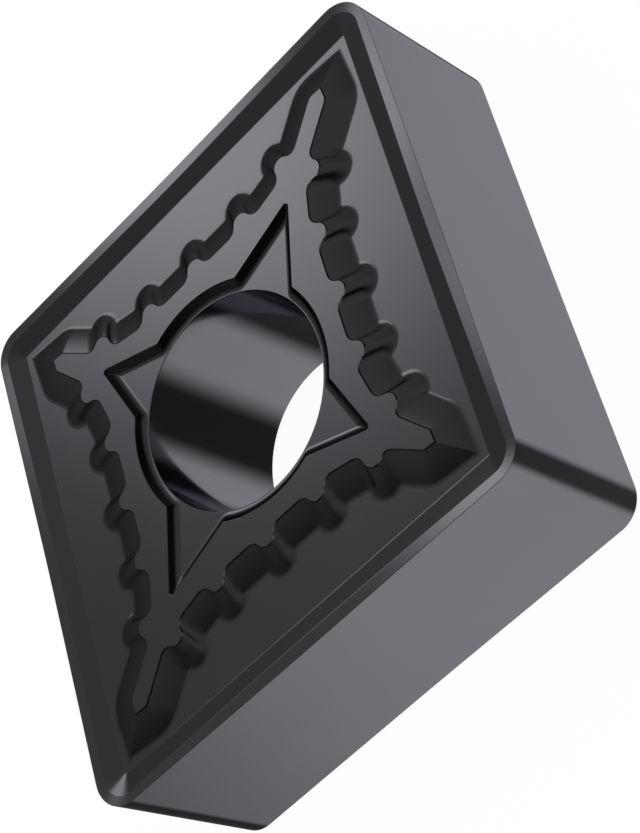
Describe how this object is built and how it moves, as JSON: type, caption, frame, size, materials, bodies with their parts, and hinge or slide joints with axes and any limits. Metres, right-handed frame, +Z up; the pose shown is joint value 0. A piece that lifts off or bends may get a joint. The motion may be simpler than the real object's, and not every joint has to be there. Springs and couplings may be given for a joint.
{
  "type": "carbide turning insert",
  "caption": "Double-sided rhombic carbide turning insert with a scalloped chipbreaker, rounded corners and a round fixing hole.",
  "frame": {"origin": "on the hole's axis, on the plane of the lower seat face", "axes": "+Z up along the hole's axis, +Y along the long diagonal to an acute corner, +X along the short diagonal to an obtuse corner"},
  "size_m": [0.016, 0.0188, 0.0048],
  "materials": {
    "coated_carbide": "dark grey vapour-deposited coating, satin gloss"
  },
  "bodies": {
    "root": {"insert": "coated_carbide"}
  },
  "joints": []
}
